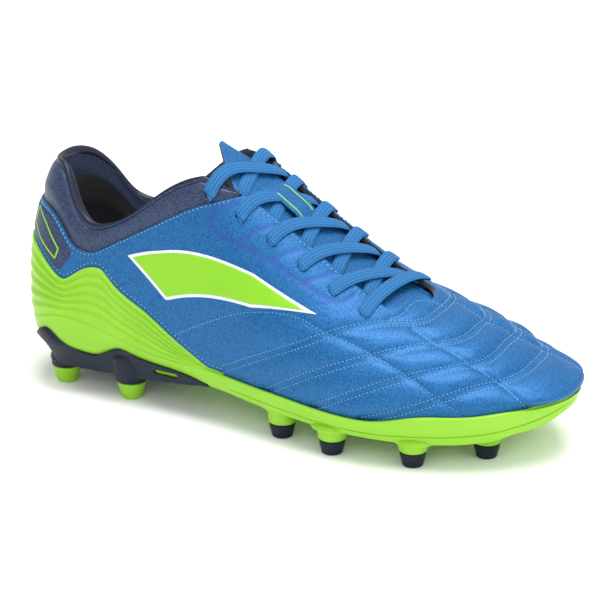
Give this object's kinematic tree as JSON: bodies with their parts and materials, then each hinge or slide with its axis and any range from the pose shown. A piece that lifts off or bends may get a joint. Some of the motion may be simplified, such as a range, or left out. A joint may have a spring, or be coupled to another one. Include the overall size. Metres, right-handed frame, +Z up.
{
  "type": "football boot",
  "caption": "Right lace-up football boot: hollow moulded upper with padded collar, ribbed heel counter, studded outsole and crossed flat laces.",
  "frame": {"origin": "on the floor under the middle of the boot's box", "axes": "+X to the toe, +Y to the inner (medial) side, +Z up"},
  "size_m": [0.2852, 0.1076, 0.1271],
  "materials": {
    "upper_blue": "grained pearly synthetic leather",
    "collar_navy": "grained soft synthetic leather over foam",
    "sole_lime": "moulded satin thermoplastic",
    "sole_navy": "moulded satin thermoplastic",
    "lining_dark": "knitted lining cloth",
    "lace_blue": "flat woven polyester"
  },
  "bodies": {
    "root": {"upper": "upper_blue", "collar": "collar_navy", "heel_patch": "collar_navy", "heel_counter": "sole_lime", "outsole": "sole_lime", "heel_frame": "sole_navy", "insole": "lining_dark", "tongue": "upper_blue", "tongue_loop": "collar_navy", "laces": "lace_blue", "stud_tip_forefoot_outer_1": "sole_navy", "stud_tip_forefoot_outer_2": "sole_navy", "stud_tip_forefoot_outer_3": "sole_navy", "stud_tip_forefoot_outer_4": "sole_navy", "stud_tip_forefoot_inner_1": "sole_navy", "stud_tip_forefoot_inner_2": "sole_navy", "stud_tip_forefoot_inner_3": "sole_navy", "stud_tip_forefoot_inner_4": "sole_navy", "stud_tip_heel_outer_rear": "sole_lime", "stud_tip_heel_outer_front": "sole_lime", "stud_tip_heel_inner_rear": "sole_lime", "stud_tip_heel_inner_front": "sole_lime"}
  },
  "joints": []
}
